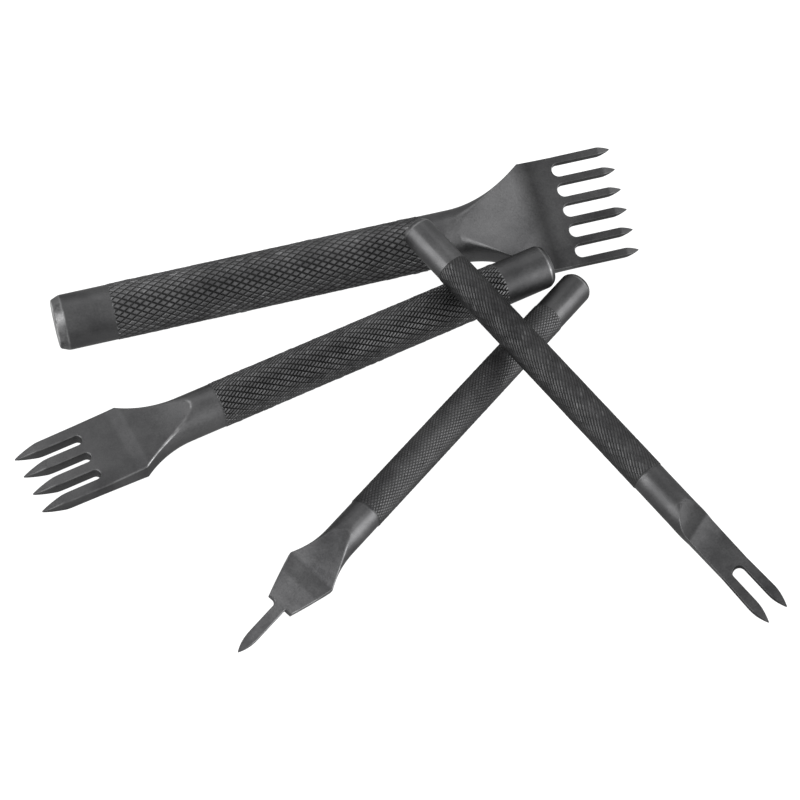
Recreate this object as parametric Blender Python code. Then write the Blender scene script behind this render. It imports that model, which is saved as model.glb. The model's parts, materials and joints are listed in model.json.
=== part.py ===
"""A set of four leather pricking irons, lying crossed on a bench.

Each iron is one forging: a round bar with a knurled grip, a smooth struck butt and a smooth
neck that is drawn out sideways and ground flat on both faces into a blade with pointed tines.
In an iron's own frame x runs from the butt to the points, y across the blade, z out of its face.
All lengths are in metres and all angles in degrees.
"""
import math
from dataclasses import dataclass

import bmesh
import bpy
from mathutils import Matrix, Vector

COLLECTION = "pricking_iron_set"

# Driving dimensions of the whole set
TINE_PITCH = 0.0050
BUTT_BEVEL_DEPTH = 0.0008
GRIP_RAISE = 0.00015
GRIP_RAMP = 0.0003
POINT_HALF_WIDTH = 0.00012
POINT_HALF_THICKNESS = 0.00015
FLARE_POWER = 2.2
BLADE_WALL_FLATNESS = 2.5    # how far the round sides are drawn upright by the shoulder
FLAT_CORNER_ANGLE = 68.0     # where round sides give way to the faces, on a still round neck

# Fineness of the solids
FACE_STEPS = 5
SIDE_STEPS = 10
FLARE_STEPS = 9
ROOT_STEPS = 8
POINT_STEPS = 5
CUTTER_OVERRUN = 0.004
CUTTER_RUN_IN = 0.0004
TIP_RUN_OUT = 0.00013        # cutters start this far past the points
ROOT_MARGIN = 0.0007         # the loft has its ring this far short of the slot roots
SHARP_ANGLE = 30.0
STEEL_ROUGHNESS = 0.42
STEEL_METALLIC = 0.85
CUTTER_HALF_HEIGHT = 0.006
WELD_DISTANCE = 0.00001


@dataclass(frozen=True)
class Iron:
    """One iron: its shape in its own frame, then where it lies."""

    name: str
    tines: int
    grip_radius: float
    butt_bevel_length: float
    grip_start: float
    grip_end: float
    tongue: float            # where the flat faces run out on the round neck
    flare_start: float
    shoulder: float          # where the blade reaches its full width
    shoulder_half_width: float
    shoulder_half_thickness: float
    face_power: float        # 1 is a straight wedge, more is a hollow one
    root: float              # deepest point of the slots, or the step beside a single tine
    root_half_width: float
    root_half_thickness: float
    tine_width: float
    tine_offset: float
    point_length: float
    bevel_length: float
    length: float
    butt: tuple              # middle of the butt's end face
    heading: float
    dip: float
    roll: float
    colour: tuple


IRONS = (
    Iron(
        name="six_tine_iron", tines=6,
        length=0.1338, grip_radius=0.00642, butt_bevel_length=0.002,
        grip_start=0.0129, grip_end=0.0851,
        tongue=0.0915, face_power=1.15, flare_start=0.092,
        shoulder=0.1109, shoulder_half_width=0.01335, shoulder_half_thickness=0.0016,
        root=0.1188, root_half_width=0.01335, root_half_thickness=0.00105,
        tine_width=0.00185, tine_offset=0.0,
        point_length=0.0034, bevel_length=0.003,
        butt=(-0.07542, 0.01806, 0.00648), heading=16.1, dip=-0.25, roll=24.0,
        colour=(0.085, 0.086, 0.088),
    ),
    Iron(
        name="four_tine_iron", tines=4,
        length=0.1264, grip_radius=0.00515, butt_bevel_length=0.0012,
        grip_start=0.0122, grip_end=0.0824,
        tongue=0.0881, face_power=1.9, flare_start=0.09,
        shoulder=0.1027, shoulder_half_width=0.00895, shoulder_half_thickness=0.00195,
        root=0.1122, root_half_width=0.00895, root_half_thickness=0.00125,
        tine_width=0.00265, tine_offset=0.0,
        point_length=0.0066, bevel_length=0.0034,
        butt=(0.03435, 0.03431, 0.008), heading=207.54, dip=1.95, roll=-2.0,
        colour=(0.075, 0.076, 0.078),
    ),
    Iron(
        name="two_tine_iron", tines=2,
        length=0.1198, grip_radius=0.00385, butt_bevel_length=0.0012,
        grip_start=0.0139, grip_end=0.0793,
        tongue=0.088, face_power=1.5, flare_start=0.089,
        shoulder=0.096, shoulder_half_width=0.0034, shoulder_half_thickness=0.0019,
        root=0.1062, root_half_width=0.0033, root_half_thickness=0.0011,
        tine_width=0.002, tine_offset=0.0,
        point_length=0.005, bevel_length=0.003,
        butt=(0.00408, 0.03605, 0.0191), heading=-50.7, dip=8.34, roll=18.0,
        colour=(0.08, 0.081, 0.083),
    ),
    Iron(
        name="one_tine_iron", tines=1,
        length=0.1229, grip_radius=0.0039, butt_bevel_length=0.001,
        grip_start=0.0122, grip_end=0.0797,
        tongue=0.0862, face_power=1.6, flare_start=0.088,
        shoulder=0.0992, shoulder_half_width=0.00565, shoulder_half_thickness=0.0017,
        root=0.1096, root_half_width=0.0028, root_half_thickness=0.00115,
        tine_width=0.0025, tine_offset=0.0002,
        point_length=0.0052, bevel_length=0.0034,
        butt=(0.04168, 0.032, 0.0039), heading=233.15, dip=0.0, roll=-22.0,
        colour=(0.08, 0.081, 0.083),
    ),
)


def half_width(iron, x):
    """Half the width of the bar or blade at x."""
    neck = iron.grip_radius - GRIP_RAISE
    if x <= iron.flare_start:
        return neck
    if x <= iron.shoulder:
        run = (x - iron.flare_start) / (iron.shoulder - iron.flare_start)
        return neck + (iron.shoulder_half_width - neck) * run ** FLARE_POWER
    run = min(1.0, (x - iron.shoulder) / (iron.root - iron.shoulder))
    return iron.shoulder_half_width + (iron.root_half_width - iron.shoulder_half_width) * run


def face_height(iron, x):
    """Height of the ground face above the middle plane at x."""
    neck = iron.grip_radius - GRIP_RAISE
    if x <= iron.tongue:
        return neck
    if x <= iron.shoulder:
        left = (iron.shoulder - x) / (iron.shoulder - iron.tongue)
        return iron.shoulder_half_thickness + (neck - iron.shoulder_half_thickness) * left ** iron.face_power
    bevel_start = iron.length - iron.bevel_length
    if x <= iron.root:
        run = (x - iron.shoulder) / (iron.root - iron.shoulder)
        return iron.shoulder_half_thickness + (iron.root_half_thickness - iron.shoulder_half_thickness) * run
    if x <= bevel_start:
        return iron.root_half_thickness
    run = (x - bevel_start) / iron.bevel_length
    return iron.root_half_thickness + (POINT_HALF_THICKNESS - iron.root_half_thickness) * run


def section(iron, x):
    """Ring of points at x: an oval drawn out sideways, cut by the two ground faces."""
    neck = iron.grip_radius - GRIP_RAISE
    across = half_width(iron, x)
    height = face_height(iron, x)
    drawn = max(0.0, min(1.0, (x - iron.flare_start) / (iron.shoulder - iron.flare_start)))
    upright = neck * (1.0 + (BLADE_WALL_FLATNESS - 1.0) * drawn ** 3)
    corner = math.asin(min(height / upright, math.sin(math.radians(FLAT_CORNER_ANGLE))))
    edge = across * math.cos(corner)
    ring = []
    for side in (1.0, -1.0):
        for step in range(SIDE_STEPS):
            angle = corner * (2.0 * step / SIDE_STEPS - 1.0)
            ring.append((side * across * math.cos(angle), side * upright * math.sin(angle)))
        for step in range(FACE_STEPS):
            y = edge * (1.0 - 2.0 * step / FACE_STEPS)
            round_height = upright * math.sqrt(max(0.0, 1.0 - (y / across) ** 2))
            ring.append((side * y, side * min(height, round_height)))
    return [Vector((x, y, z)) for y, z in ring]


def round_section(x, radius):
    """Ring of the same number of points as a section, on a circle."""
    corner = math.radians(FLAT_CORNER_ANGLE)
    ring = []
    for side in (1.0, -1.0):
        for step in range(SIDE_STEPS):
            angle = corner * (2.0 * step / SIDE_STEPS - 1.0)
            ring.append(Vector((x, side * radius * math.cos(angle), side * radius * math.sin(angle))))
        for step in range(FACE_STEPS):
            y = radius * math.cos(corner) * (1.0 - 2.0 * step / FACE_STEPS)
            ring.append(Vector((x, side * y, side * math.sqrt(radius ** 2 - y ** 2))))
    return ring


def bar_rings(iron):
    """All the rings of an iron's loft, from its butt to its points."""
    smooth = iron.grip_radius - GRIP_RAISE
    rings = [
        round_section(0.0, smooth - BUTT_BEVEL_DEPTH),
        round_section(iron.butt_bevel_length, smooth),
        round_section(iron.grip_start, smooth),
        round_section(iron.grip_start + GRIP_RAMP, iron.grip_radius),
        round_section(iron.grip_end - GRIP_RAMP, iron.grip_radius),
        round_section(iron.grip_end, smooth),
    ]
    for step in range(FLARE_STEPS + 1):
        run = step / FLARE_STEPS
        rings.append(section(iron, iron.tongue + (iron.shoulder - iron.tongue) * run))
    rings.append(section(iron, iron.root - ROOT_MARGIN))
    rings.append(section(iron, iron.length - iron.bevel_length))
    rings.append(section(iron, iron.length))
    return rings


def loft(name, rings):
    """A closed mesh object through rings of equal size."""
    shape = bmesh.new()
    rows = [[shape.verts.new(point) for point in ring] for ring in rings]
    count = len(rows[0])
    for near, far in zip(rows, rows[1:]):
        for index in range(count):
            after = (index + 1) % count
            shape.faces.new((near[index], near[after], far[after], far[index]))
    shape.faces.new(rows[0])
    shape.faces.new(rows[-1])
    bmesh.ops.recalc_face_normals(shape, faces=shape.faces)
    mesh = bpy.data.meshes.new(name)
    shape.to_mesh(mesh)
    shape.free()
    return bpy.data.objects.new(name, mesh)


def prism(name, outline, collection):
    """A cutter: a flat outline in the blade's plane, thick enough to go through it."""
    curve = bpy.data.curves.new(name, "CURVE")
    curve.dimensions = "2D"
    curve.fill_mode = "BOTH"
    curve.extrude = CUTTER_HALF_HEIGHT
    spline = curve.splines.new("POLY")
    spline.points.add(len(outline) - 1)
    for point, (x, y) in zip(spline.points, outline):
        point.co = (x, y, 0.0, 1.0)
    spline.use_cyclic_u = True
    source = bpy.data.objects.new(name + "_outline", curve)
    collection.objects.link(source)
    bpy.context.view_layer.update()
    graph = bpy.context.evaluated_depsgraph_get()
    mesh = bpy.data.meshes.new_from_object(source.evaluated_get(graph))
    bpy.data.objects.remove(source)
    shape = bmesh.new()
    shape.from_mesh(mesh)
    bmesh.ops.remove_doubles(shape, verts=shape.verts, dist=WELD_DISTANCE)
    bmesh.ops.recalc_face_normals(shape, faces=shape.faces)
    shape.to_mesh(mesh)
    shape.free()
    cutter = bpy.data.objects.new(name, mesh)
    cutter.hide_render = True
    cutter.display_type = "WIRE"
    collection.objects.link(cutter)
    return cutter


def point_side(iron, middle, side):
    """One side of a tine's point, from its tip back to where the tine is full width."""
    half = iron.tine_width / 2.0
    start = iron.length + TIP_RUN_OUT
    side_points = []
    for step in range(POINT_STEPS + 1):
        run = step / POINT_STEPS
        reach = POINT_HALF_WIDTH + (half - POINT_HALF_WIDTH) * (1.0 - (1.0 - run) ** 2)
        side_points.append((start - (iron.point_length + TIP_RUN_OUT) * run, middle + side * reach))
    return side_points


def tine_middles(iron):
    first = -TINE_PITCH * (iron.tines - 1) / 2.0
    return [iron.tine_offset + first + TINE_PITCH * index for index in range(iron.tines)]


def gap_outline(iron, middle):
    """The slot between the tine at middle and the next one, with a full round root."""
    reach = (TINE_PITCH - iron.tine_width) / 2.0
    centre = middle + TINE_PITCH / 2.0
    end = iron.length + CUTTER_OVERRUN
    lower = point_side(iron, middle, 1.0)
    upper = point_side(iron, middle + TINE_PITCH, -1.0)
    root = []
    for step in range(ROOT_STEPS + 1):
        angle = math.pi * step / ROOT_STEPS
        root.append((iron.root + reach - reach * math.sin(angle), centre - reach * math.cos(angle)))
    start = [(end, lower[0][1])]
    finish = [(end, upper[0][1])]
    return start + lower + root + upper[::-1] + finish


def outer_outline(iron, middle, side):
    """What is cut away outside an end tine: the half of its point, or a whole step."""
    end = iron.length + CUTTER_OVERRUN
    clear = side * (iron.shoulder_half_width + CUTTER_OVERRUN)
    edge = point_side(iron, middle, side)
    if iron.tines == 1:
        edge.append((iron.root, middle + side * iron.tine_width / 2.0))
        back = iron.root
    else:
        back = iron.length - iron.point_length - CUTTER_RUN_IN
        edge.append((back, middle + side * (iron.tine_width / 2.0 + CUTTER_RUN_IN)))
    return [(end, edge[0][1])] + edge + [(back, clear), (end, clear)]


def gap_cutters(iron, collection):
    middles = tine_middles(iron)
    cutters = []
    for index, middle in enumerate(middles[:-1]):
        cutters.append(prism(f"{iron.name}_gap_{index + 1}", gap_outline(iron, middle), collection))
    for side, middle in ((-1.0, middles[0]), (1.0, middles[-1])):
        label = "right" if side < 0.0 else "left"
        cutters.append(prism(f"{iron.name}_{label}", outer_outline(iron, middle, side), collection))
    return cutters


def steel(iron):
    material = bpy.data.materials.new(iron.name + "_blackened_steel")
    material.use_nodes = True
    shader = material.node_tree.nodes["Principled BSDF"]
    shader.inputs["Base Color"].default_value = (*iron.colour, 1.0)
    shader.inputs["Roughness"].default_value = STEEL_ROUGHNESS
    shader.inputs["Metallic"].default_value = STEEL_METALLIC
    return material


def build_iron(iron, parts, cutters):
    """Make one iron and lay it where it belongs."""
    body = loft(iron.name, bar_rings(iron))
    parts.objects.link(body)
    for cutter in gap_cutters(iron, cutters):
        cutter.parent = body
        cut = body.modifiers.new(cutter.name, "BOOLEAN")
        cut.operation = "DIFFERENCE"
        cut.solver = "EXACT"
        cut.object = cutter
    body.data.materials.append(steel(iron))
    body.data.shade_smooth()
    body.data.set_sharp_from_angle(angle=math.radians(SHARP_ANGLE))
    place = Matrix.Translation(iron.butt)
    heading = Matrix.Rotation(math.radians(iron.heading), 4, "Z")
    dip = Matrix.Rotation(math.radians(iron.dip), 4, "Y")
    roll = Matrix.Rotation(math.radians(iron.roll), 4, "X")
    body.matrix_world = place @ heading @ dip @ roll
    return body


def main():
    for item in list(bpy.data.objects):
        bpy.data.objects.remove(item)
    parts = bpy.data.collections.new(COLLECTION)
    cutters = bpy.data.collections.new("cutters")
    bpy.context.scene.collection.children.link(parts)
    bpy.context.scene.collection.children.link(cutters)
    for iron in IRONS:
        build_iron(iron, parts, cutters)


main()
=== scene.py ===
"""The looks of a set of four leather pricking irons.

Each iron is rebuilt as one fine mesh in the place of its CAD solid: a turned butt, a knurled grip
with its real diamonds, a neck drawn out into a blade with rounded, worn edges, and pointed tines.
In an iron's own frame x runs from the butt to the points, y across the blade, z out of its face.
Sizes of the irons are in millimetres, the scene is in metres.
"""

import json
import math
from dataclasses import dataclass

import bmesh
import bpy
import numpy as np
from mathutils import Matrix, Vector, geometry


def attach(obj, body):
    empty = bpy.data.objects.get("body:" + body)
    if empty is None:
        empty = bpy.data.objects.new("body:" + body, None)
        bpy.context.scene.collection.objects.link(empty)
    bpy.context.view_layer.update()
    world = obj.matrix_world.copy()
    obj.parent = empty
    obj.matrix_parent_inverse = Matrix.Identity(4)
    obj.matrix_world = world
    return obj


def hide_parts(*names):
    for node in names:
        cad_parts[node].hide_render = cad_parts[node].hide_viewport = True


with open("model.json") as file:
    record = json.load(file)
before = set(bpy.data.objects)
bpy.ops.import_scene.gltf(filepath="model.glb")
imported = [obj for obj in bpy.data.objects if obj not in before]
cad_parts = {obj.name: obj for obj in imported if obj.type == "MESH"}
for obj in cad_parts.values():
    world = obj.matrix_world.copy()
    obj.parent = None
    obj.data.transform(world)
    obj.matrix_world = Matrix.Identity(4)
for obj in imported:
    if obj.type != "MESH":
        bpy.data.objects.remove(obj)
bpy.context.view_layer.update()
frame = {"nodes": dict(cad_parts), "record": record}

MM = 0.001

# Driving dimensions of the whole set, in millimetres
TINE_PITCH = 5.0
GRIP_RAISE = 0.15            # tops of the knurls above the smooth bar
GRIP_FADE = 0.3              # the knurls rise to their height over this length at each end of the grip
HELIX_ANGLE = math.radians(31.5)
BUTT_EASE = 0.45             # how far the corners of the butt's bevel are rounded
EASE_SHARE = 0.45            # the most of a straight stretch that one rounded corner may take
POINT_HALF_WIDTH = 0.1
POINT_HALF_THICKNESS = 0.13
BLADE_WALL_FLATNESS = 2.5    # how far the round sides are drawn upright by the shoulder
FACE_BLEND = 0.12            # how softly a ground face meets the round side
EDGE_SHARE = 0.35            # the most of a section's height or width that a worn edge may take
FLAT_CORNER = math.radians(70.0)   # where the edge of the face lies while the bar is still round
STEP_FILLET = 0.08           # how small the sharp inner corner beside the single tine is
STEP_HOLLOW = 0.85           # radius of the inner corner on the single tine's other side
TIP_TAPER = 3.0              # the rounded edges grow finer over this length before the points
TIP_EDGE_SHARE = 0.12        # what is left of them at the very tip
MITRE_LIMIT = 1.4            # how far a rounded edge may be stretched where the outline turns

# Wear, painted glints and painted shade. Lengths are in millimetres, the rest are shares
RIM_WEAR = 0.3               # how far the wear reaches from the corners of the butt
CROWN_WEAR = 0.75            # how far the tops of the knurls are rubbed
CROWN_WEAR_START = 0.5       # share of a knurl's height above which it is rubbed
CROWN_SPREAD = 0.18          # how far the heights of the knurls differ
CROWN_PEAK = 0.12            # how far the middle of a knurl stands above its corners
SPARK_SHARE = 0.04           # share of the knurls that stand proud, worn bright and given a painted sparkling highlight
SPARK_HEIGHT = 1.12
SPARK_WEAR_AND_GLINT = 2.0
WEAR_FADE = (0.1, 0.5)       # share of the flare over which its edges' wear sets in
WEAR_CRISPNESS = 0.12        # an edge this much sharper than a round bar's is fully worn
BLADE_SIDE_WEAR = 0.35       # share of the flare's edge wear that runs on along the blade
GLINT_HALF_WIDTH = 1.5       # half the width of the painted highlight at the tip of the face's tongue
GLINT_AHEAD = 0.15           # how far past the tongue's tip the painted highlight's arc lies
GLINT_BOW = 0.7
GLINT_LENGTH = 0.25
SHADED_RISE = 0.8            # share of a tine wall's height that takes the painted shade

# Where the stretches of a mesh begin and end, in millimetres
BUTT_CENTRE_SHARE = 0.55     # radius of the end face's first ring, as a share of its own
FACE_MARGIN = 0.1            # rings nearer than this to the end face take its bareness
BEVEL_MARGIN = 0.05          # and nearer than this to the bevel take the bevel's
COLLAR = 0.1                 # the neck's first ring lies this far past the grip
NECK_START = 0.35            # and its first section this far
TONGUE_REACH = 3.0           # sections lie closest together this far from where the tongue begins
HEAD_MARGIN = 1.5            # the slotted blade begins this far before the root
ROLL_MARGIN = 0.5            # the CAD blade's roll is measured from this far before its shoulder
SEAM = 0.0137                # where the knurls meet round the bar, away from any knurl's middle
CELL_MARGIN = 3.0            # knurls nearer than this to the ends of the grip are cut to fit
CUT_SNAP = 0.02              # corners of knurls nearer than this to a cut are moved onto it
CORNER_DIGITS = 3            # corners of knurls that agree to this many digits are one vertex
END_REACH = 0.0006           # such vertices this near to an end of the grip lie on it
FACE_SKIN = 0.02             # points this near to the height of the ground face belong to it
TINE_MARGIN = 0.05           # points this near to a tine's sides belong to it

# Fineness of the meshes
SIDE_STEPS = 9
CORNER_STEPS = 5
FACE_STEPS = 14
EASE_STEPS = 5
ARC_STEPS = 16
POINT_STEPS = 12
CREASE_SAMPLES = 9
RING_SPACING = 0.4
TONGUE_SPACING = 0.13
OUTLINE_SPACING = 0.45
ROUND_EDGE = 0.2             # reach of the corner's points while the bar is round
HOLD = 0.09                  # flat strip beside each rounded edge, so that the faces shade flat
HOLD_SHARE = 0.3             # the most of half a face that the strip may take
WELD = 0.002
FILL_TOLERANCE = 1e-7
SHARP_ANGLE = math.radians(32.0)


@dataclass(frozen=True)
class Knurl:
    """Two crossing families of helical grooves: how many start round the bar, and how deep."""

    rising: int
    falling: int
    depth: float
    rising_land: float       # share of the rising grooves' pitch left as the flat top of the knurls
    falling_land: float
    shade: float             # how black the bottoms of the grooves are
    tone: float              # brightness of the knurls


@dataclass(frozen=True)
class Iron:
    """One iron, with lengths along it measured from its butt."""

    name: str
    tines: int
    length: float
    grip_radius: float
    butt_start: float        # where the flat end lies
    butt_bevel: tuple        # (length, depth)
    butt_tone: float         # brightness of the smooth steel at the butt
    neck_tone: float         # the same on the neck
    grip_start: float
    grip_end: float
    tongue: float            # where the flat faces run out on the round neck
    face_power: float
    flare_start: float
    flare_power: float       # how hollow the flare's sides are
    shoulder: float          # where the blade reaches its full width
    shoulder_half_width: float
    shoulder_half_thickness: float
    crease: tuple            # (x, half thickness) of the second crease across the face
    crease_softness: float
    root: float              # deepest point of the slots, or the steps beside a single tine
    root_half_width: float
    blade_bulge: float       # how far the blade's sides bow out between shoulder and root
    root_half_thickness: float
    tine_width: float
    tine_offset: float
    point_length: float
    point_fullness: float    # 1 for straight sides to the point, more for leaf-shaped ones
    bevel_length: float
    edge: float              # how far the worn roundness of the edges reaches
    tongue_blend: float      # how far the face melts into the round neck
    tongue_twist: float      # degrees the face is turned about the iron where it begins
    side_wear: tuple         # how bright the edges are rubbed on the +y and the -y side
    start_wear: float        # share of that wear where the edges begin at the tongue
    tine_wear: float
    wall_wear: float         # how bright the blade's side walls are rubbed
    slot_shade: float        # how dark the painted shade on the walls between the tines is
    tongue_glint: float      # how bright the painted highlight at the tip of the tongue is
    knurl: Knurl
    tones: tuple             # (x, brightness) along the ground face: its own lighter finish, with painted light and shade in bands where the face turns
    tone_slant: float        # how far the tones, with their painted light and shade, run askew, mm along for each mm across
    bare_butt: tuple         # how far the black is worn off the end face and its bevel


IRONS = (
    Iron(
        name="six_tine_iron", tines=6,
        length=133.5, grip_radius=6.42,
        butt_start=0.0, butt_bevel=(2.0, 0.8), butt_tone=1.05, neck_tone=1.25,
        grip_start=12.9, grip_end=85.1,
        tongue=91.5, face_power=1.15, flare_start=92.0, flare_power=2.0,
        shoulder=110.9, shoulder_half_width=13.35, shoulder_half_thickness=1.6,
        crease=(114.2, 1.3), crease_softness=1.6,
        root=118.8, root_half_width=13.35, blade_bulge=0.0, root_half_thickness=1.05,
        tine_width=1.85, tine_offset=0.0,
        point_length=3.4, point_fullness=1.8, bevel_length=3.0,
        edge=0.22, tongue_blend=0.8, tongue_twist=0.0,
        side_wear=(0.5, 0.5), start_wear=1.6,
        tine_wear=0.1, wall_wear=0.0, slot_shade=0.3, tongue_glint=0.0,
        knurl=Knurl(
            rising=26, falling=26, depth=0.32,
            rising_land=0.55, falling_land=0.55, shade=0.75, tone=1.15,
        ),
        tones=(
            (91.0, 1.25), (99.0, 1.2), (109.0, 1.32),
            (112.0, 0.76), (113.6, 0.52), (116.0, 0.78), (133.8, 0.86),
        ),
        tone_slant=0.03,
        bare_butt=(1.0, 0.2),
    ),
    Iron(
        name="four_tine_iron", tines=4,
        length=126.7, grip_radius=5.15,
        butt_start=0.0, butt_bevel=(1.2, 0.8), butt_tone=1.0, neck_tone=1.25,
        grip_start=12.2, grip_end=82.4,
        tongue=88.1, face_power=1.9, flare_start=90.0, flare_power=2.2,
        shoulder=102.7, shoulder_half_width=8.95, shoulder_half_thickness=1.95,
        crease=(104.5, 1.8), crease_softness=0.5,
        root=112.2, root_half_width=8.95, blade_bulge=0.0, root_half_thickness=1.45,
        tine_width=2.65, tine_offset=0.0,
        point_length=7.6, point_fullness=2.4, bevel_length=5.2,
        edge=0.4, tongue_blend=0.35, tongue_twist=0.0,
        side_wear=(1.4, 0.4), start_wear=0.15,
        tine_wear=0.25, wall_wear=0.0, slot_shade=0.1, tongue_glint=2.5,
        knurl=Knurl(
            rising=42, falling=21, depth=0.3,
            rising_land=0.42, falling_land=0.7, shade=0.9, tone=1.15,
        ),
        tones=(
            (86.0, 1.3), (101.4, 1.1), (102.2, 1.4),
            (104.2, 1.35), (105.2, 1.08), (126.4, 1.08),
        ),
        tone_slant=0.0,
        bare_butt=(0.3, 0.0),
    ),
    Iron(
        name="two_tine_iron", tines=2,
        length=119.8, grip_radius=3.85,
        butt_start=0.5, butt_bevel=(1.3, 0.85), butt_tone=1.15, neck_tone=0.92,
        grip_start=13.9, grip_end=79.3,
        tongue=88.9, face_power=1.4, flare_start=89.0, flare_power=2.2,
        shoulder=96.0, shoulder_half_width=3.4, shoulder_half_thickness=1.9,
        crease=(98.5, 1.6), crease_softness=1.0,
        root=106.6, root_half_width=3.35, blade_bulge=0.0, root_half_thickness=1.1,
        tine_width=2.2, tine_offset=0.0,
        point_length=5.0, point_fullness=2.0, bevel_length=3.0,
        edge=0.16, tongue_blend=0.2, tongue_twist=-24.0,
        side_wear=(0.2, 0.6), start_wear=0.5,
        tine_wear=0.1, wall_wear=0.0, slot_shade=0.6, tongue_glint=0.2,
        knurl=Knurl(
            rising=16, falling=32, depth=0.13,
            rising_land=0.97, falling_land=0.45, shade=0.5, tone=0.5,
        ),
        tones=(
            (88.0, 0.6), (92.0, 0.8), (95.1, 0.85),
            (95.6, 1.7), (97.4, 1.6), (101.4, 1.05), (119.8, 1.0),
        ),
        tone_slant=0.3,
        bare_butt=(0.4, 0.2),
    ),
    Iron(
        name="one_tine_iron", tines=1,
        length=122.5, grip_radius=3.9,
        butt_start=0.0, butt_bevel=(1.1, 0.75), butt_tone=0.85, neck_tone=1.3,
        grip_start=12.2, grip_end=79.7,
        tongue=86.9, face_power=1.5, flare_start=88.0, flare_power=2.2,
        shoulder=98.4, shoulder_half_width=5.9, shoulder_half_thickness=1.35,
        crease=(102.4, 0.8), crease_softness=0.15,
        root=108.7, root_half_width=3.05, blade_bulge=0.1, root_half_thickness=0.75,
        tine_width=2.5, tine_offset=0.2,
        point_length=5.2, point_fullness=2.2, bevel_length=3.4,
        edge=0.3, tongue_blend=0.3, tongue_twist=14.0,
        side_wear=(0.7, 0.2), start_wear=0.15,
        tine_wear=0.15, wall_wear=0.45, slot_shade=0.0, tongue_glint=0.2,
        knurl=Knurl(
            rising=32, falling=32, depth=0.13,
            rising_land=0.5, falling_land=0.5, shade=0.45, tone=0.75,
        ),
        tones=(
            (86.0, 1.4), (98.3, 1.8), (98.5, 1.3),
            (102.3, 1.25), (102.6, 1.55), (110.0, 1.45), (122.9, 1.35),
        ),
        tone_slant=0.0,
        bare_butt=(0.3, 0.1),
    ),
)


# ---------------------------------------------------------------- shape of an iron

def neck_radius(iron):
    return iron.grip_radius - GRIP_RAISE


def half_width(iron, x):
    """Half the width of the bar or blade at x."""
    neck = neck_radius(iron)
    if x <= iron.flare_start:
        return neck
    if x <= iron.shoulder:
        run = (x - iron.flare_start) / (iron.shoulder - iron.flare_start)
        return neck + (iron.shoulder_half_width - neck) * run ** iron.flare_power
    run = min(1.0, (x - iron.shoulder) / (iron.root - iron.shoulder))
    straight = iron.shoulder_half_width + (iron.root_half_width - iron.shoulder_half_width) * run
    return straight + iron.blade_bulge * 4.0 * run * (1.0 - run)


def plain_face_height(iron, x):
    """Height of the ground face over the middle plane, with its creases still sharp."""
    neck = neck_radius(iron)
    crease_x, crease_height = iron.crease
    bevel_start = iron.length - iron.bevel_length
    if x <= iron.shoulder:
        left = (iron.shoulder - x) / (iron.shoulder - iron.tongue)
        thinnest = iron.shoulder_half_thickness
        return thinnest + (neck - thinnest) * left ** iron.face_power
    stops = (iron.shoulder, crease_x, iron.root, bevel_start, iron.length)
    heights = (
        iron.shoulder_half_thickness,
        crease_height,
        iron.root_half_thickness,
        iron.root_half_thickness,
        POINT_HALF_THICKNESS,
    )
    return float(np.interp(x, stops, heights))


def face_height(iron, x):
    """Height of the ground face, its creases softened by averaging along the iron."""
    softness = iron.crease_softness
    if abs(x - iron.shoulder) < softness or abs(x - iron.crease[0]) < softness:
        spread = np.linspace(-softness, softness, CREASE_SAMPLES)
        return float(np.mean([plain_face_height(iron, x + shift) for shift in spread]))
    return plain_face_height(iron, x)


def soft_minimum(a, b, reach):
    """The smaller of two heights, blended where they are closer than reach."""
    near = np.maximum(reach - np.abs(a - b), 0.0)
    return np.minimum(a, b) - near ** 2 / (4.0 * reach)


def quarter_section(across, upright, height, edge, blend=FACE_BLEND):
    """Rows of (y, z, wear) from the middle of the side to the middle of the face."""
    sine = min(height / upright, math.sin(FLAT_CORNER))
    corner = math.asin(sine)
    corner_y = across * math.cos(corner)
    corner_z = upright * sine
    speed = math.hypot(across * math.sin(corner), upright * math.cos(corner))
    setback = min(edge, EDGE_SHARE * corner_z, EDGE_SHARE * corner_y)
    crisp = min(1.0, max(0.0, (math.sin(FLAT_CORNER) - height / upright) / WEAR_CRISPNESS))

    def round_height(y):
        return upright * np.sqrt(np.maximum(0.0, 1.0 - (y / across) ** 2))

    rows = []
    last = corner - setback / speed
    for step in range(SIDE_STEPS):
        angle = last * step / (SIDE_STEPS - 1)
        rows.append((across * math.cos(angle), upright * math.sin(angle), 0.0))
    start = np.array(rows[-1][:2])
    inner_y = corner_y - setback
    end = np.array((inner_y, float(soft_minimum(height, round_height(inner_y), blend))))
    for step in range(1, CORNER_STEPS + 1):
        t = step / CORNER_STEPS
        bend = np.array((corner_y, corner_z))
        point = (1.0 - t) ** 2 * start + 2.0 * t * (1.0 - t) * bend + t * t * end
        rows.append((point[0], point[1], crisp * (1.0 - abs(2.0 * t - 1.0) ** 2)))
    held = inner_y - min(HOLD, HOLD_SHARE * inner_y)
    for step in range(FACE_STEPS + 1):
        y = held * (1.0 - step / FACE_STEPS)
        rows.append((y, float(soft_minimum(height, round_height(y), blend)), 0.0))
    return np.array(rows)


def whole_ring(quarter):
    """Four mirrored quarters, as rows of (y, z, wear)."""
    flip_y = np.array((-1.0, 1.0, 1.0))
    flip_z = np.array((1.0, -1.0, 1.0))
    return np.vstack((
        quarter[:-1],
        quarter[:0:-1] * flip_y,
        quarter[:-1] * flip_y * flip_z,
        quarter[:0:-1] * flip_z,
    ))


def along_flare(iron, x):
    """How far x is from the tongue (0) to the shoulder (1)."""
    return max(0.0, min(1.0, (x - iron.tongue) / (iron.shoulder - iron.tongue)))


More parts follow.
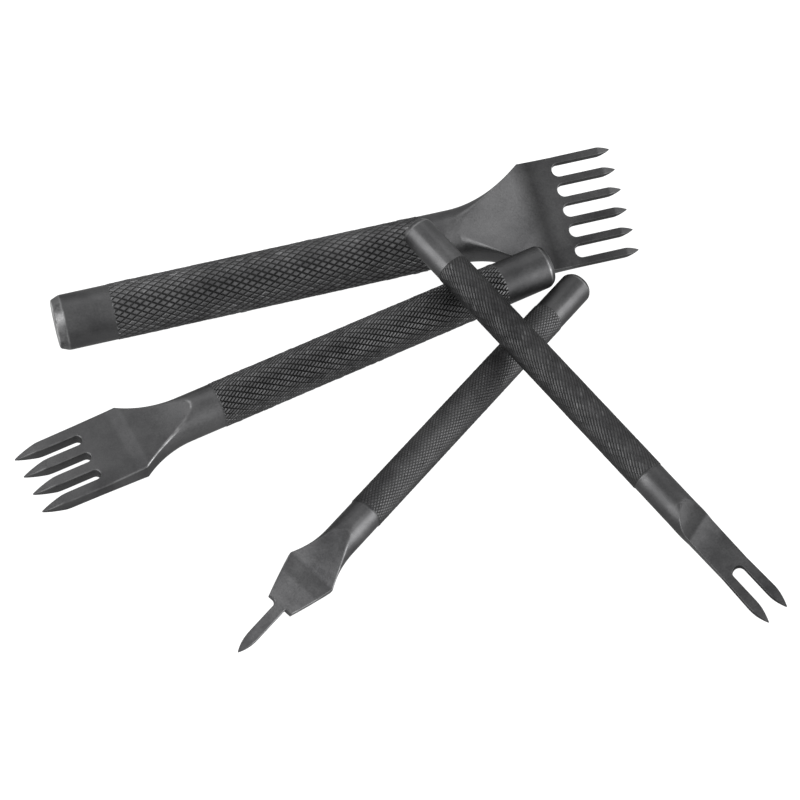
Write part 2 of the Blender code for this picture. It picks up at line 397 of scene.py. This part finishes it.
def blade_quarter(iron, x):
    """A quarter of the section of the neck, flare or blade at x."""
    drawn = max(0.0, min(1.0, (x - iron.flare_start) / (iron.shoulder - iron.flare_start)))
    upright = neck_radius(iron) * (1.0 + (BLADE_WALL_FLATNESS - 1.0) * drawn ** 3)
    softness = iron.tongue_blend * (1.0 - along_flare(iron, x)) ** 2
    edge = iron.edge + softness
    return quarter_section(half_width(iron, x), upright, face_height(iron, x), edge, FACE_BLEND + softness)


def twisted(iron, x, rows):
    """Rows of a section turned about the iron, most at the tongue and not at all at the shoulder."""
    left = 1.0 - along_flare(iron, x)
    turn = math.radians(iron.tongue_twist) * left * left * (3.0 - 2.0 * left)
    cos, sin = math.cos(turn), math.sin(turn)
    y, z = rows[:, 0].copy(), rows[:, 1].copy()
    return np.column_stack((y * cos - z * sin, y * sin + z * cos, rows[:, 2]))


def round_quarter(radius):
    return quarter_section(radius, radius, radius, ROUND_EDGE)


def eased(points, setback):
    """A polyline whose inner corners are rounded off."""
    result = [np.array(points[0], float)]
    for before, corner, after in zip(points, points[1:], points[2:]):
        before, corner, after = (np.array(p, float) for p in (before, corner, after))
        reach_in = min(setback, EASE_SHARE * np.linalg.norm(corner - before))
        reach_out = min(setback, EASE_SHARE * np.linalg.norm(after - corner))
        start = corner + (before - corner) / np.linalg.norm(before - corner) * reach_in
        end = corner + (after - corner) / np.linalg.norm(after - corner) * reach_out
        for step in range(EASE_STEPS + 1):
            t = step / EASE_STEPS
            result.append((1.0 - t) ** 2 * start + 2.0 * t * (1.0 - t) * corner + t * t * end)
    result.append(np.array(points[-1], float))
    return result


# ---------------------------------------------------------------- mesh under construction

class Shell:
    """Vertices with their finish, and faces, of one iron."""

    def __init__(self):
        self.places = []
        self.finish = []         # worn edges and painted glints, tone with the ground faces' painted light and shade, black of the grooves and painted shade of the slot walls, bareness
        self.faces = []

    def vertex(self, place, wear=0.0, tone=1.0, groove=0.0, bare=0.0):
        self.places.append(tuple(place))
        self.finish.append((wear, tone, groove, bare))
        return len(self.places) - 1

    def ring(self, x, rows, tone=1.0, bare=0.0, wear=None):
        return [
            self.vertex((x, y, z), own if wear is None else wear, tone, 0.0, bare)
            for y, z, own in rows
        ]

    def join(self, near, far):
        count = len(near)
        for index in range(count):
            after = (index + 1) % count
            self.faces.append((near[index], near[after], far[after], far[index]))

    def zip_rings(self, near, far):
        """Triangles between two rings round the x axis that have different points."""
        def turned(ring):
            order = sorted(ring, key=lambda v: math.atan2(self.places[v][2], self.places[v][1]))
            return order, [math.atan2(self.places[v][2], self.places[v][1]) for v in order]

        near, near_angles = turned(near)
        far, far_angles = turned(far)
        near_angles.append(near_angles[0] + 2.0 * math.pi)
        far_angles.append(far_angles[0] + 2.0 * math.pi)
        i = j = 0
        while i < len(near) or j < len(far):
            a, b = near[i % len(near)], far[j % len(far)]
            if j >= len(far) or (i < len(near) and near_angles[i + 1] <= far_angles[j + 1]):
                self.faces.append((a, near[(i + 1) % len(near)], b))
                i += 1
            else:
                self.faces.append((a, far[(j + 1) % len(far)], b))
                j += 1


# ---------------------------------------------------------------- butt and grip

def butt_rings(iron, shell):
    """The flat end face, its bevel with eased edges, and the smooth end up to the grip."""
    radius = neck_radius(iron)
    bevel_length, bevel_depth = iron.butt_bevel
    end_radius = radius - bevel_depth
    face = iron.butt_start
    bevel_end = face + bevel_length
    corners = [
        (face, end_radius * BUTT_CENTRE_SHARE),
        (face, end_radius),
        (bevel_end, radius),
        (iron.grip_start, radius),
    ]
    bare_end, bare_bevel = iron.bare_butt
    middle = shell.vertex((face, 0.0, 0.0), bare=bare_end)
    previous = None
    for x, r in eased(corners, BUTT_EASE):
        rim = max(0.0, 1.0 - abs(x - bevel_end) / RIM_WEAR)
        if r > end_radius - RIM_WEAR:
            rim = max(rim, 1.0 - abs(x - face) / RIM_WEAR)
        bare = 0.0
        if x < bevel_end + BEVEL_MARGIN:
            bare = bare_end if x < face + FACE_MARGIN else bare_bevel
        ring = shell.ring(x, whole_ring(round_quarter(r)), iron.butt_tone, bare, wear=rim)
        if previous is None:
            count = len(ring)
            shell.faces.extend((middle, ring[(k + 1) % count], ring[k]) for k in range(count))
        else:
            shell.join(previous, ring)
        previous = ring
    return previous


def clipped(polygon, limit, keep_above):
    """A polygon of (x, s, height) points, cut at x = limit. s runs round the bar."""
    sign = 1.0 if keep_above else -1.0
    result = []
    for here, after in zip(polygon, polygon[1:] + polygon[:1]):
        inside_here = sign * (here[0] - limit) >= 0.0
        inside_after = sign * (after[0] - limit) >= 0.0
        if inside_here:
            result.append(here)
        if inside_here != inside_after:
            t = (limit - here[0]) / (after[0] - here[0])
            result.append(tuple(h + (a - h) * t for h, a in zip(here, after)))
    return result


def knurl_band(iron, shell, rng):
    """The knurls as real diamonds. Returns the rings of vertices at the band's two ends."""
    knurl = iron.knurl
    smooth = neck_radius(iron)
    round_length = 2.0 * math.pi * iron.grip_radius
    slope = math.tan(HELIX_ANGLE)
    rise = np.array((knurl.rising / round_length * slope, knurl.rising / round_length))
    fall = np.array((knurl.falling / round_length * slope, -knurl.falling / round_length))
    to_place = np.linalg.inv(np.array((rise, fall)))
    inset_i = (1.0 - knurl.rising_land) / 2.0
    inset_j = (1.0 - knurl.falling_land) / 2.0
    start, end = iron.grip_start, iron.grip_end
    cuts = (start, start + GRIP_FADE, end - GRIP_FADE, end)
    vertices = {}

    def lay(point):
        x, s, height = point
        turn = round(s % round_length, CORNER_DIGITS) % round(round_length, CORNER_DIGITS)
        key = (round(x, CORNER_DIGITS), turn)
        if key not in vertices:
            angle = s / iron.grip_radius
            strength = min(1.0, max(0.0, min(x - start, end - x) / GRIP_FADE))
            radius = smooth + strength * (GRIP_RAISE - knurl.depth * (1.0 - height))
            place = (x, radius * math.cos(angle), radius * math.sin(angle))
            rubbed_and_glint = CROWN_WEAR * knurl.shade * strength * max(0.0, height - CROWN_WEAR_START)
            # proud knurls: worn bright and painted with a sparkling highlight
            rubbed_and_glint += SPARK_WEAR_AND_GLINT * strength * max(0.0, height - 1.0)
            groove = knurl.shade * strength * (1.0 - height)
            vertices[key] = shell.vertex(place, rubbed_and_glint, knurl.tone, groove)
        return vertices[key]

    def snapped(point):
        """A corner, moved onto a cut that it nearly touches."""
        cut = min(cuts, key=lambda x: abs(x - point[0]))
        return (cut,) + point[1:] if abs(cut - point[0]) < CUT_SNAP else point

    def cell_faces(i, j):
        """Four sides and a low pyramid on top: one diamond of the knurl."""
        corners = ((0.0, 0.0), (1.0, 0.0), (1.0, 1.0), (0.0, 1.0))
        crown = 1.0 - CROWN_SPREAD * rng.random()
        if rng.random() < SPARK_SHARE:
            crown = SPARK_HEIGHT
        low = [tuple(to_place @ (i + u, j + v)) + (0.0,) for u, v in corners]
        high = []
        for u, v in corners:
            inner = (i + u + inset_i * (1 - 2 * u), j + v + inset_j * (1 - 2 * v))
            high.append(tuple(to_place @ inner) + (crown - CROWN_PEAK,))
        top = tuple(to_place @ (i + 0.5, j + 0.5)) + (crown,)
        for k in range(4):
            n = (k + 1) % 4
            yield [low[k], low[n], high[n], high[k]]
            yield [high[k], high[n], top]

    ends = [(x, s) for x in (start, end) for s in (0.0, round_length)]
    spans = [(rise @ place, fall @ place) for place in ends]
    low_i, high_i = (int(f([p[0] for p in spans])) for f in (min, max))
    low_j, high_j = (int(f([p[1] for p in spans])) for f in (min, max))
    for i in range(low_i - 1, high_i + 2):
        for j in range(low_j - 1, high_j + 2):
            centre = to_place @ (i + 0.5, j + 0.5)
            if not SEAM <= centre[1] < SEAM + round_length:
                continue
            if centre[0] < start - CELL_MARGIN or centre[0] > end + CELL_MARGIN:
                continue
            inside = start + CELL_MARGIN < centre[0] < end - CELL_MARGIN
            for polygon in cell_faces(i, j):
                if inside:
                    shell.faces.append(tuple(lay(point) for point in polygon))
                    continue
                polygon = [snapped(point) for point in polygon]
                for lower, upper in zip(cuts, cuts[1:]):
                    piece = clipped(clipped(polygon, lower, True), upper, False)
                    if len(piece) > 2:
                        ids = [lay(point) for point in piece]
                        ids = [v for k, v in enumerate(ids) if v != ids[k - 1]]
                        if len(ids) > 2:
                            shell.faces.append(tuple(ids))
    return [[v for (x, _), v in vertices.items() if abs(x - limit) < END_REACH] for limit in (start, end)]


# ---------------------------------------------------------------- blade and tines

def stations(iron):
    """Where the neck and flare are sectioned, closer together where the tongue begins."""
    stop = iron.root - HEAD_MARGIN
    neck, fine_end = iron.grip_end + NECK_START, iron.tongue + TONGUE_REACH
    marks = (neck, iron.tongue, fine_end, iron.shoulder, iron.crease[0], stop)
    marks = sorted(mark for mark in marks if mark <= stop)
    result = [marks[0]]
    for before, after in zip(marks, marks[1:]):
        spacing = TONGUE_SPACING if before == iron.tongue else RING_SPACING
        count = max(1, math.ceil((after - before) / spacing))
        result.extend(np.linspace(before, after, count + 1)[1:])
    return result


def tone_at(iron, x, y):
    """Brightness of the ground face there, with its bands of painted light and shade."""
    xs, tones = zip(*iron.tones)
    return float(np.interp(x + iron.tone_slant * y, xs, tones))


def lofted_bar(iron, shell, grip_end_ring):
    """The neck and the flare, down to where the slotted blade begins."""
    previous = shell.ring(iron.grip_end + COLLAR, whole_ring(round_quarter(neck_radius(iron))))
    shell.zip_rings(grip_end_ring, previous)
    left_wear, right_wear = iron.side_wear
    for x in stations(iron):
        rows = whole_ring(blade_quarter(iron, x))
        height = face_height(iron, x)
        set_in = float(np.interp(along_flare(iron, x), WEAR_FADE, (iron.start_wear, 1.0)))
        ring = []
        for (_, height_z, wear), (y, z, _) in zip(rows, twisted(iron, x, rows)):
            on_face = 1.0 if x > iron.tongue and abs(height_z) > height - FACE_SKIN else 0.0
            rubbed_and_glint = wear * set_in * (left_wear if y > 0.0 else right_wear)
            if x >= iron.shoulder:
                rubbed_and_glint = max(BLADE_SIDE_WEAR * rubbed_and_glint, iron.wall_wear * (1.0 - on_face))
            # painted highlight: a bright arc at the tip of the tongue, added on top of the worn edges
            if height_z > 0.0 and abs(y) < GLINT_HALF_WIDTH:
                spread = (y / GLINT_HALF_WIDTH) ** 2
                bow = GLINT_AHEAD + GLINT_BOW * spread
                ahead = (x - iron.tongue - bow) / GLINT_LENGTH
                rubbed_and_glint += iron.tongue_glint * (1.0 - spread) * math.exp(-ahead ** 2)
            tone = iron.neck_tone + (tone_at(iron, x, y) - iron.neck_tone) * on_face
            ring.append(shell.vertex((x, y, z), rubbed_and_glint, tone))
        shell.join(previous, ring)
        previous = ring


def run_of(start, end):
    """Points from start up to but not including end."""
    start, end = np.array(start, float), np.array(end, float)
    count = max(1, math.ceil(np.linalg.norm(end - start) / OUTLINE_SPACING))
    return [start + (end - start) * k / count for k in range(count)]


def tine_middles(iron):
    """Where the middles of the tines lie across the blade, from +y to -y."""
    first = TINE_PITCH * (iron.tines - 1) / 2.0
    return [iron.tine_offset + first - TINE_PITCH * index for index in range(iron.tines)]


def tine_sides(iron, middle):
    """Outline of one tine beyond the root, down its left side (+y), round its tip and back."""
    half = iron.tine_width / 2.0
    side = []
    for step in range(POINT_STEPS + 1):
        run = step / POINT_STEPS
        fullness = 1.0 - (1.0 - run) ** iron.point_fullness
        reach = POINT_HALF_WIDTH + (half - POINT_HALF_WIDTH) * fullness
        side.append((iron.length - iron.point_length * run, reach))
    left = [(x, middle + reach) for x, reach in reversed(side)]
    right = [(x, middle - reach) for x, reach in side]
    return left, right


def blade_outline(iron):
    """The blade's edge from the joint with the bar, round all the tines and back."""
    joint = iron.root - HEAD_MARGIN
    middles = tine_middles(iron)
    half = iron.tine_width / 2.0
    joint_half = half_width(iron, joint)
    root_half = iron.root_half_width
    points = []
    left_start = [(joint, joint_half), (iron.root, root_half)]
    if iron.tines == 1:
        into_tine = (iron.root + STEP_FILLET, middles[0] + half)
        foot = (iron.root, middles[0] + half + STEP_FILLET)
        points += run_of(*left_start) + run_of(left_start[1], foot) + [np.array(foot)]
    else:
        points += run_of(*left_start)
        into_tine = left_start[1]
    for index, middle in enumerate(middles):
        left, right = tine_sides(iron, middle)
        points += run_of(into_tine, left[0])
        points += [np.array(p) for p in left + right]
        if index < iron.tines - 1:
            reach = (TINE_PITCH - iron.tine_width) / 2.0
            centre = middle - TINE_PITCH / 2.0
            points = points[:-1] + run_of(right[-1], (iron.root + reach, centre + reach))
            for step in range(ARC_STEPS):
                angle = math.pi * step / ARC_STEPS
                x = iron.root + reach - reach * math.sin(angle)
                points.append(np.array((x, centre + reach * math.cos(angle))))
            into_tine = (iron.root + reach, centre - reach)
    right_end = [(iron.root, -root_half), (joint, -joint_half)]
    if iron.tines == 1:
        foot = middles[0] - half
        last = (iron.length - iron.point_length, foot)
        points = points[:-1] + run_of(last, (iron.root + STEP_HOLLOW, foot))
        for step in range(ARC_STEPS // 2 + 1):
            angle = 0.5 * math.pi * step / (ARC_STEPS // 2)
            x = iron.root + STEP_HOLLOW * (1.0 - math.sin(angle))
            y = foot - STEP_HOLLOW * (1.0 - math.cos(angle))
            points.append(np.array((x, y)))
        points += run_of((iron.root, foot - STEP_HOLLOW), right_end[0])[1:]
    else:
        last = (iron.length - iron.point_length, middles[-1] - half)
        points = points[:-1] + run_of(last, right_end[0])
    points += run_of(*right_end) + [np.array(right_end[1])]
    return np.array(points)


def outward_normals(outline):
    """Mitred outward normals of an open outline that runs from +y round to -y."""
    steps = np.diff(outline, axis=0)
    steps /= np.linalg.norm(steps, axis=1)[:, None]
    sides = np.column_stack((-steps[:, 1], steps[:, 0]))
    normals = np.empty_like(outline)
    normals[1:-1] = sides[:-1] + sides[1:]
    lengths = np.linalg.norm(normals[1:-1], axis=1)
    normals[1:-1] /= lengths[:, None]
    stretch = np.minimum(2.0 / lengths, MITRE_LIMIT)
    normals[1:-1] *= stretch[:, None]
    normals[0] = (0.0, 1.0)
    normals[-1] = (0.0, -1.0)
    return normals


def slotted_blade(iron, shell):
    """The blade from the joint on: walls swept round the outline, faces filled between them."""
    joint = iron.root - HEAD_MARGIN
    outline = blade_outline(iron)
    normals = outward_normals(outline)
    quarter = blade_quarter(iron, joint)
    joint_half = half_width(iron, joint)
    joint_height = face_height(iron, joint)
    levels = SIDE_STEPS + CORNER_STEPS + 1
    wall = [(joint_half - y, z / joint_height, wear) for y, z, wear in quarter[:levels]]
    columns = []
    for place, normal in zip(outline, normals):
        shrink = min(1.0, max(TIP_EDGE_SHARE, (iron.length - place[0]) / TIP_TAPER))
        column = []
        for depth, rise, wear in wall:
            x, y = place - normal * depth * shrink
            height = face_height(iron, min(x, iron.length))
            rubbed_and_glint = wear * iron.tine_wear
            if place[0] < iron.root and depth < iron.edge:
                rubbed_and_glint = max(rubbed_and_glint, iron.wall_wear)
            # painted shade on the walls between the tines, carried with the black of the knurls' grooves
            shade = iron.slot_shade if place[0] >= iron.root and rise < SHADED_RISE else 0.0
            column.append(((x, y, rise * height), (rubbed_and_glint, tone_at(iron, x, y), shade)))
        columns.append(column)
    upper, lower = [], []
    for column in columns:
        top = [shell.vertex(place, *finish) for place, finish in column]
        bottom = [top[0]]
        bottom += [shell.vertex((x, y, -z), *finish) for (x, y, z), finish in column[1:]]
        upper.append(top)
        lower.append(bottom)
    for top, next_top, bottom, next_bottom in zip(upper, upper[1:], lower, lower[1:]):
        for k in range(levels - 1):
            shell.faces.append((top[k], top[k + 1], next_top[k + 1], next_top[k]))
            shell.faces.append((bottom[k + 1], bottom[k], next_bottom[k], next_bottom[k + 1]))
    seam = np.concatenate((-quarter[levels:-1, 0], quarter[levels:, 0][::-1]))
    rim = [Vector(column[-1][0][:2]) for column in columns]
    closing = [Vector((joint, y)) for y in seam]
    flat = rim + closing
    creases = []
    bevel_start = iron.length - iron.bevel_length

    def off_bevel(k):
        return abs(rim[k].x - bevel_start)

    for middle in reversed(tine_middles(iron)):
        on_tine = [k for k, p in enumerate(rim) if abs(p.y - middle) < iron.tine_width / 2.0 + TINE_MARGIN]
        left = min((k for k in on_tine if rim[k].y > middle), key=off_bevel)
        right = min((k for k in on_tine if rim[k].y < middle), key=off_bevel)
        creases.append((left, right))
    ring = list(range(len(flat)))
    filled = geometry.delaunay_2d_cdt(flat, creases, [ring], 1, FILL_TOLERANCE)
    places, _, triangles, origins, _, _ = filled
    ids = {}
    for sign, rows in ((1.0, upper), (-1.0, lower)):
        for index, (place, origin) in enumerate(zip(places, origins)):
            source = origin[0] if origin else -1
            if 0 <= source < len(rim):
                ids[index] = rows[source][-1]
            else:
                height = face_height(iron, place.x)
                tone = tone_at(iron, place.x, place.y)
                ids[index] = shell.vertex((place.x, place.y, sign * height), 0.0, tone)
        for triangle in triangles:
            corners = [ids[k] for k in triangle]
            shell.faces.append(tuple(corners if sign > 0.0 else reversed(corners)))


# ---------------------------------------------------------------- whole irons

def placement(iron):
    """Where an iron's CAD solid lies: its butt and axis from the record, its roll from its mesh."""
    mount_name = iron.name.replace("_iron", "_striking_face")
    mount = next(m for m in frame["record"]["mounts"] if m["name"] == mount_name)
    butt = Vector(mount["pos_m"])
    along = -Vector(mount["axis"]).normalized()
    across = Vector((0.0, 0.0, 1.0)).cross(along).normalized()
    up = along.cross(across)
    flat = Matrix((along, across, up)).transposed()
    cad_vertices = frame["nodes"][iron.name].data.vertices
    places = np.array([flat.transposed() @ (v.co - butt) for v in cad_vertices]) / MM
    head = places[places[:, 0] > iron.shoulder - ROLL_MARGIN][:, 1:]
    spread = head.T @ head
    roll = 0.5 * math.atan2(2.0 * spread[0, 1], spread[0, 0] - spread[1, 1])
    turned = flat.to_4x4() @ Matrix.Rotation(roll, 4, "X")
    return Matrix.Translation(butt) @ turned @ Matrix.Scale(MM, 4)


def iron_object(iron, material):
    """One closed mesh that stands for the iron's CAD solid."""
    rng = np.random.default_rng(len(iron.name) + iron.tines)
    shell = Shell()
    smooth_end = butt_rings(iron, shell)
    grip_start_ring, grip_end_ring = knurl_band(iron, shell, rng)
    shell.zip_rings(smooth_end, grip_start_ring)
    lofted_bar(iron, shell, grip_end_ring)
    slotted_blade(iron, shell)

    mesh = bpy.data.meshes.new(iron.name + "_forging")
    mesh.from_pydata(shell.places, [], shell.faces)
    finish = np.array(shell.finish, dtype=np.float32)
    for column, name in enumerate(("wear", "tone", "groove", "bare")):
        attribute = mesh.attributes.new(name, "FLOAT", "POINT")
        attribute.data.foreach_set("value", finish[:, column])
    shape = bmesh.new()
    shape.from_mesh(mesh)
    bmesh.ops.remove_doubles(shape, verts=shape.verts, dist=WELD)
    bmesh.ops.recalc_face_normals(shape, faces=shape.faces)
    shape.to_mesh(mesh)
    shape.free()
    mesh.transform(placement(iron))
    mesh.materials.append(material)
    mesh.shade_smooth()
    mesh.set_sharp_from_angle(angle=SHARP_ANGLE)
    piece = bpy.data.objects.new(iron.name + "_forging", mesh)
    bpy.context.scene.collection.objects.link(piece)
    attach(piece, iron.name)
    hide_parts(iron.name)


# ---------------------------------------------------------------- materials

class Nodes:
    """Short hands for wiring a node material."""

    def __init__(self, material):
        material.use_nodes = True
        self.tree = material.node_tree
        self.shader = self.tree.nodes["Principled BSDF"]

    def add(self, kind, **settings):
        node = self.tree.nodes.new(kind)
        for name, value in settings.items():
            setattr(node, name, value)
        return node

    def link(self, source, target):
        self.tree.links.new(source, target)

    def attribute(self, name):
        return self.add("ShaderNodeAttribute", attribute_name=name).outputs["Fac"]

    def noise(self, scale, detail=4.0, roughness=0.6, stretch=(1.0, 1.0, 1.0)):
        place = self.add("ShaderNodeTexCoord").outputs["Object"]
        mapping = self.add("ShaderNodeMapping")
        mapping.inputs["Scale"].default_value = stretch
        self.link(place, mapping.inputs["Vector"])
        node = self.add("ShaderNodeTexNoise")
        node.inputs["Scale"].default_value = scale
        node.inputs["Detail"].default_value = detail
        node.inputs["Roughness"].default_value = roughness
        self.link(mapping.outputs["Vector"], node.inputs["Vector"])
        return node.outputs["Fac"]

    def ramp(self, value, low, high, bottom=0.0, top=1.0):
        node = self.add("ShaderNodeMapRange")
        node.clamp = True
        for socket, number in (("From Min", low), ("From Max", high), ("To Min", bottom), ("To Max", top)):
            node.inputs[socket].default_value = number
        self.link(value, node.inputs["Value"])
        return node.outputs["Result"]

    def math(self, operation, a, b):
        node = self.add("ShaderNodeMath", operation=operation)
        for socket, value in zip(node.inputs, (a, b)):
            if isinstance(value, (int, float)):
                socket.default_value = value
            else:
                self.link(value, socket)
        return node.outputs["Value"]

    def mix(self, factor, a, b):
        node = self.add("ShaderNodeMix", data_type="RGBA")
        self.link(factor, node.inputs["Factor"])
        for socket, value in ((node.inputs[6], a), (node.inputs[7], b)):
            if isinstance(value, tuple):
                socket.default_value = value
            else:
                self.link(value, socket)
        return node.outputs[2]


# Finish of the steel: linear colours, noise scales per metre, bump depths in metres
BLACK_OXIDE = (0.029, 0.029, 0.030, 1.0)
OXIDE_LIGHT = (0.057, 0.057, 0.058, 1.0)
# black of the knurls' grooves, also the colour of the painted shade on the walls between the tines
GROOVE_BLACK_AND_SLOT_SHADE = (0.012, 0.012, 0.012, 1.0)
# worn steel of the edges, also the colour of the painted glints
RUBBED_STEEL_AND_GLINT = (0.15, 0.15, 0.152, 1.0)
BARE_STEEL = (0.3, 0.3, 0.302, 1.0)
EDGE_TINT = (0.55, 0.55, 0.55, 1.0)
METALLIC = 0.95
CLOUD_SCALE = 55.0
BLOTCH_SCALE = 230.0
SPECK_SCALE = 2600.0
SCUFF_SCALE = 420.0
STRIKE_SCALE = 330.0
BLOTCH_SHARE = 0.35          # how far the blotches lighten the oxide
GROOVE_ROUGHNESS = 0.25      # added at the bottom of a groove
PIT_DEPTH = 0.00003
PIT_STRENGTH = 0.25
FORGED_DEPTH = 0.0001
FORGED_STRENGTH = 0.35


def blackened_steel(name):
    """Oil-blackened forged steel, worn lighter on its edges and bare where it has been struck, with
    painted glints, painted light and shade on its ground faces and painted shade on the walls between its
    tines.
    """
    material = bpy.data.materials.new(name)
    n = Nodes(material)
    cloud = n.noise(CLOUD_SCALE, detail=5.0)
    blotch = n.noise(BLOTCH_SCALE, detail=3.0)
    speck = n.noise(SPECK_SCALE, detail=2.0)
    patina = n.mix(n.ramp(cloud, 0.36, 0.66), BLACK_OXIDE, OXIDE_LIGHT)
    lighter = n.math("MULTIPLY", n.ramp(blotch, 0.45, 0.7), BLOTCH_SHARE)
    patina = n.mix(lighter, patina, OXIDE_LIGHT)

    tone = n.add("ShaderNodeVectorMath", operation="SCALE")
    n.link(patina, tone.inputs[0])
    grainy = n.ramp(speck, 0.3, 0.7, 0.9, 1.1)
    # the tone attribute also carries the ground faces' painted light and shade
    n.link(n.math("MULTIPLY", n.attribute("tone"), grainy), tone.inputs["Scale"])

    # black of the knurls' grooves and painted shade on the walls between the tines
    groove = n.attribute("groove")
    grooved_and_shaded = n.mix(n.ramp(groove, 0.12, 0.8), tone.outputs["Vector"], GROOVE_BLACK_AND_SLOT_SHADE)

    # worn edges and painted glints, made patchy
    wear = n.attribute("wear")
    scuffed = n.ramp(n.noise(SCUFF_SCALE, detail=3.0), 0.38, 0.62, 0.25, 1.0)
    worn = n.math("MULTIPLY", wear, scuffed)
    rubbed_and_glint = n.mix(worn, grooved_and_shaded, RUBBED_STEEL_AND_GLINT)
    bare = n.attribute("bare")
    struck = n.ramp(n.noise(STRIKE_SCALE, detail=4.0), 0.4, 0.56)
    colour = n.mix(n.math("MULTIPLY", bare, struck), rubbed_and_glint, BARE_STEEL)
    n.link(colour, n.shader.inputs["Base Color"])

    grain = n.ramp(speck, 0.3, 0.7, -0.05, 0.05)
    roughness = n.math("ADD", n.ramp(blotch, 0.3, 0.7, 0.43, 0.53), grain)
    roughness = n.math("ADD", roughness, n.math("MULTIPLY", groove, GROOVE_ROUGHNESS))
    n.link(roughness, n.shader.inputs["Roughness"])
    n.shader.inputs["Metallic"].default_value = METALLIC
    n.shader.inputs["Specular Tint"].default_value = EDGE_TINT

    pits = n.add("ShaderNodeBump")
    pits.inputs["Strength"].default_value = PIT_STRENGTH
    pits.inputs["Distance"].default_value = PIT_DEPTH
    n.link(speck, pits.inputs["Height"])
    forged = n.add("ShaderNodeBump")
    forged.inputs["Strength"].default_value = FORGED_STRENGTH
    forged.inputs["Distance"].default_value = FORGED_DEPTH
    n.link(blotch, forged.inputs["Height"])
    n.link(pits.outputs["Normal"], forged.inputs["Normal"])
    n.link(forged.outputs["Normal"], n.shader.inputs["Normal"])
    return material


# ---------------------------------------------------------------- studio

# Sizes of the studio are in metres, powers in watts
CAMERA_ELEVATION = math.radians(52.0)
CAMERA_DISTANCE = 0.573
CAMERA_AIM = Vector((0.00124, 0.00183, 0.0))
LENS = 117.0
SENSOR = 36.0
NEAR_CLIP = 0.01
WHITE = (1.0, 1.0, 1.0, 1.0)
PAPER = (0.1, 0.1, 0.1, 1.0)  # dark but glowing, so that it comes out white without shadows
PAPER_GLOW = 1.0
FLOOR_HALF = 3.0
FLOOR_DROP = 0.0002          # the floor lies this far below the irons
SKY_STRENGTH = 1.15


def camera():
    data = bpy.data.cameras.new("camera")
    data.lens = LENS
    data.sensor_width = SENSOR
    data.clip_start = NEAR_CLIP
    item = bpy.data.objects.new("camera", data)
    back = Vector((0.0, -math.cos(CAMERA_ELEVATION), math.sin(CAMERA_ELEVATION)))
    item.location = CAMERA_AIM + CAMERA_DISTANCE * back
    item.rotation_euler = (math.radians(90.0) - CAMERA_ELEVATION, 0.0, 0.0)
    bpy.context.scene.collection.objects.link(item)
    bpy.context.scene.camera = item


def softbox(name, direction, distance, width, height, power):
    """A rectangular soft light at that direction from the irons, facing them."""
    data = bpy.data.lights.new(name, "AREA")
    data.shape = "RECTANGLE"
    data.size = width
    data.size_y = height
    data.energy = power
    item = bpy.data.objects.new(name, data)
    direction = Vector(direction).normalized()
    item.location = direction * distance
    item.rotation_euler = direction.to_track_quat("Z", "Y").to_euler()
    bpy.context.scene.collection.objects.link(item)


def studio():
    floor_mesh = bpy.data.meshes.new("floor")
    half = FLOOR_HALF
    corners = [(-half, -half, 0.0), (half, -half, 0.0), (half, half, 0.0), (-half, half, 0.0)]
    floor_mesh.from_pydata(corners, [], [(0, 1, 2, 3)])
    floor = bpy.data.objects.new("floor", floor_mesh)
    floor.location.z = -FLOOR_DROP
    bpy.context.scene.collection.objects.link(floor)
    paper = bpy.data.materials.new("white_paper")
    n = Nodes(paper)
    n.shader.inputs["Base Color"].default_value = PAPER
    n.shader.inputs["Emission Color"].default_value = WHITE
    n.shader.inputs["Emission Strength"].default_value = PAPER_GLOW
    n.shader.inputs["Roughness"].default_value = 0.9
    n.shader.inputs["Specular IOR Level"].default_value = 0.1
    floor_mesh.materials.append(paper)

    world = bpy.data.worlds.new("studio")
    world.use_nodes = True
    background = world.node_tree.nodes["Background"]
    background.inputs["Color"].default_value = WHITE
    background.inputs["Strength"].default_value = SKY_STRENGTH
    bpy.context.scene.world = world

    softbox("right_box", (0.95, -0.14, 0.32), distance=0.9, width=0.9, height=0.7, power=20.0)
    softbox("left_strip", (-0.78, -0.28, 0.56), distance=0.9, width=0.5, height=0.8, power=11.0)
    softbox("back_box", (0.05, 0.62, 0.85), distance=1.1, width=0.8, height=0.4, power=2.5)
    bpy.context.scene.view_settings.view_transform = "Standard"


def main():
    camera()
    studio()
    steel = blackened_steel("blackened_steel")
    for iron in IRONS:
        iron_object(iron, steel)


main()
